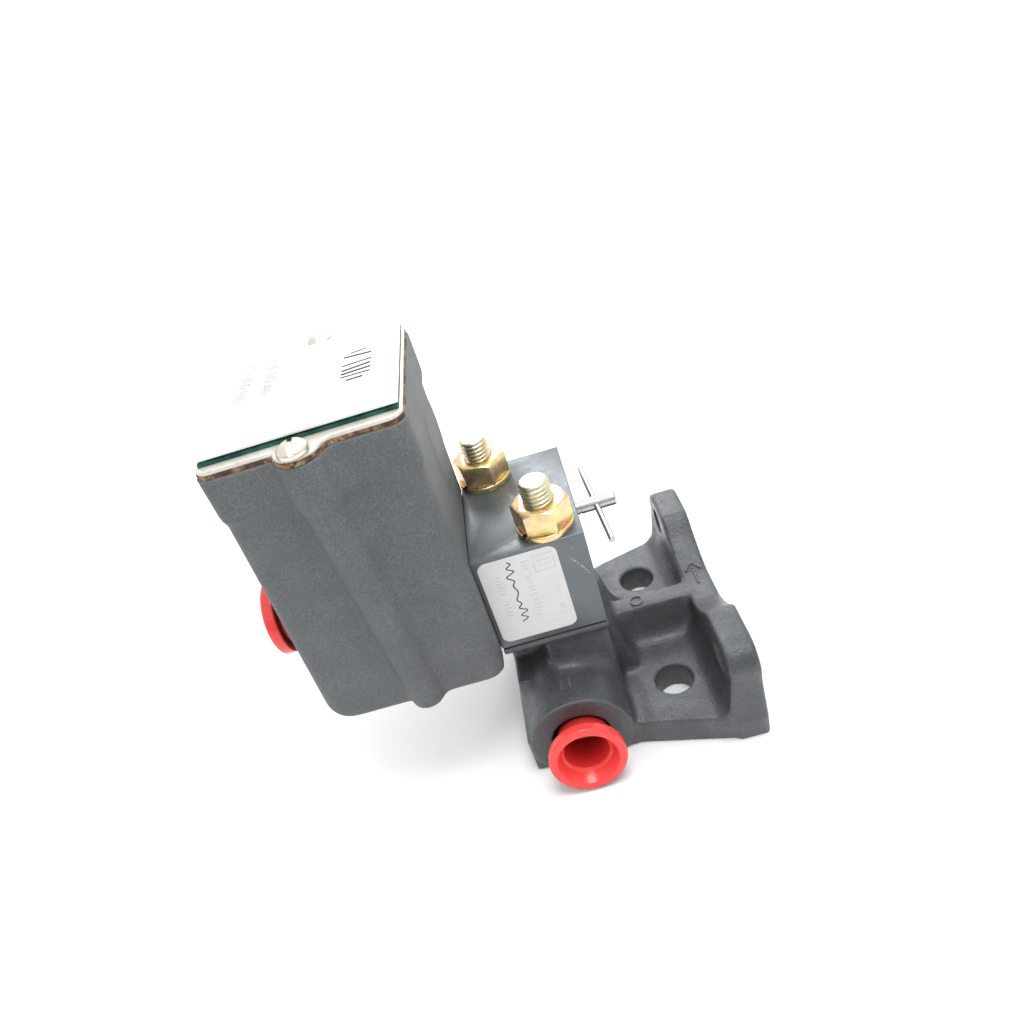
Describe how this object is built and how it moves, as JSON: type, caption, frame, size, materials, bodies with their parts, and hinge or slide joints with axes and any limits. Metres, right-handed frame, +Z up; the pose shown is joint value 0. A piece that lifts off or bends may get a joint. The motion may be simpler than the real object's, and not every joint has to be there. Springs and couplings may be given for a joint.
{
  "type": "pressure switch",
  "caption": "Piston pressure switch: deep rectangular housing on a manifold block, bolted to a cast flange bracket with a plugged process port.",
  "frame": {"origin": "midway between the two base bolt holes, on the bracket's bottom face", "axes": "+Z up, square to the base; +X out of the mounting flange, away from the housing; the process port faces -Y"},
  "size_m": [0.1518, 0.113, 0.1536],
  "materials": {
    "cast_iron": "sand cast, dark",
    "grey_paint": "textured paint",
    "block_metal": "satin anodised",
    "gold_plate": "zinc plated, yellow passivated",
    "steel": "machined",
    "spring_steel": "oiled",
    "red_plastic": "gloss",
    "cork": "cork, matt",
    "cover_paint": "satin cream",
    "green_foam": "adhesive foam",
    "plate_white": "printed, pale",
    "label_grey": "printed, matt",
    "gasket_dark": "fibre, matt",
    "seal_rubber": "nitrile",
    "brass": "turned",
    "black_moulding": "phenolic",
    "wire_sleeve": "insulation"
  },
  "bodies": {
    "base": {"bracket_casting": "cast_iron", "passage_seal": "seal_rubber", "block_gasket": "gasket_dark", "manifold_block": "block_metal", "mounting_studs": "gold_plate", "stud_nuts": "gold_plate", "lock_washers": "gold_plate", "block_label": "label_grey", "spindle_gland": "block_metal", "spindle_packing": "seal_rubber", "guide_bush": "brass", "range_spring": "spring_steel", "spring_follower": "steel", "range_screw": "steel", "range_locknut": "steel", "switch_frame": "steel", "microswitch_case": "black_moulding", "microswitch_terminals": "brass", "microswitch_screws": "steel", "enclosure_housing": "grey_paint", "housing_gasket": "gasket_dark", "housing_screws": "steel", "terminal_block": "black_moulding", "terminal_screws": "brass", "terminal_block_screws": "steel", "ground_screw": "brass", "lead_wires": "wire_sleeve", "cover_gasket": "cork"},
    "tip": {"valve_tip": "steel"},
    "spindle": {"valve_spindle": "steel", "t_handle_pin": "steel"},
    "piston_group": {"piston": "steel", "piston_seal": "seal_rubber", "operating_rod": "steel", "spring_seat": "steel"},
    "button": {"microswitch_button": "red_plastic"},
    "lid": {"cover": "cover_paint", "nameplate_backing": "green_foam", "nameplate": "plate_white", "cover_screws": "steel"},
    "port_cap": {"port_plug": "red_plastic"},
    "conduit_cap": {"conduit_plug": "red_plastic"}
  },
  "joints": [
    {"name": "valve_lift", "type": "slide", "parent": "base", "child": "tip", "axis": [1, 0, 0], "range_m": [0, 0.002]},
    {"name": "valve_turn", "type": "hinge", "parent": "tip", "child": "spindle", "pos_m": [-0.017, 0, 0.076], "axis": [1, 0, 0], "range_deg": [0, 720]},
    {"name": "piston_travel", "type": "slide", "parent": "base", "child": "piston_group", "axis": [-1, 0, 0], "range_m": [0, 0.001], "stiffness_N_per_m": 20000, "deforming": ["range_spring"]},
    {"name": "button_travel", "type": "slide", "parent": "base", "child": "button", "axis": [-1, 0, 0], "range_m": [0, 0.001], "stiffness_N_per_m": 100},
    {"name": "port_plug_pull", "type": "slide", "parent": "base", "child": "port_cap", "axis": [0, -0.9914, 0.1305], "range_m": [0, 0.03]},
    {"name": "conduit_plug_pull", "type": "slide", "parent": "base", "child": "conduit_cap", "axis": [-1, 0, 0], "range_m": [0, 0.025]},
    {"name": "cover_lift", "type": "slide", "parent": "base", "child": "lid", "axis": [0, 0, 1], "range_m": [0, 0.05]}
  ],
  "couplings": [
    {"joint": "valve_turn", "follows": "valve_lift", "rad_per_m": 6283.2},
    {"joint": "button_travel", "follows": "piston_travel", "ratio": 1}
  ]
}
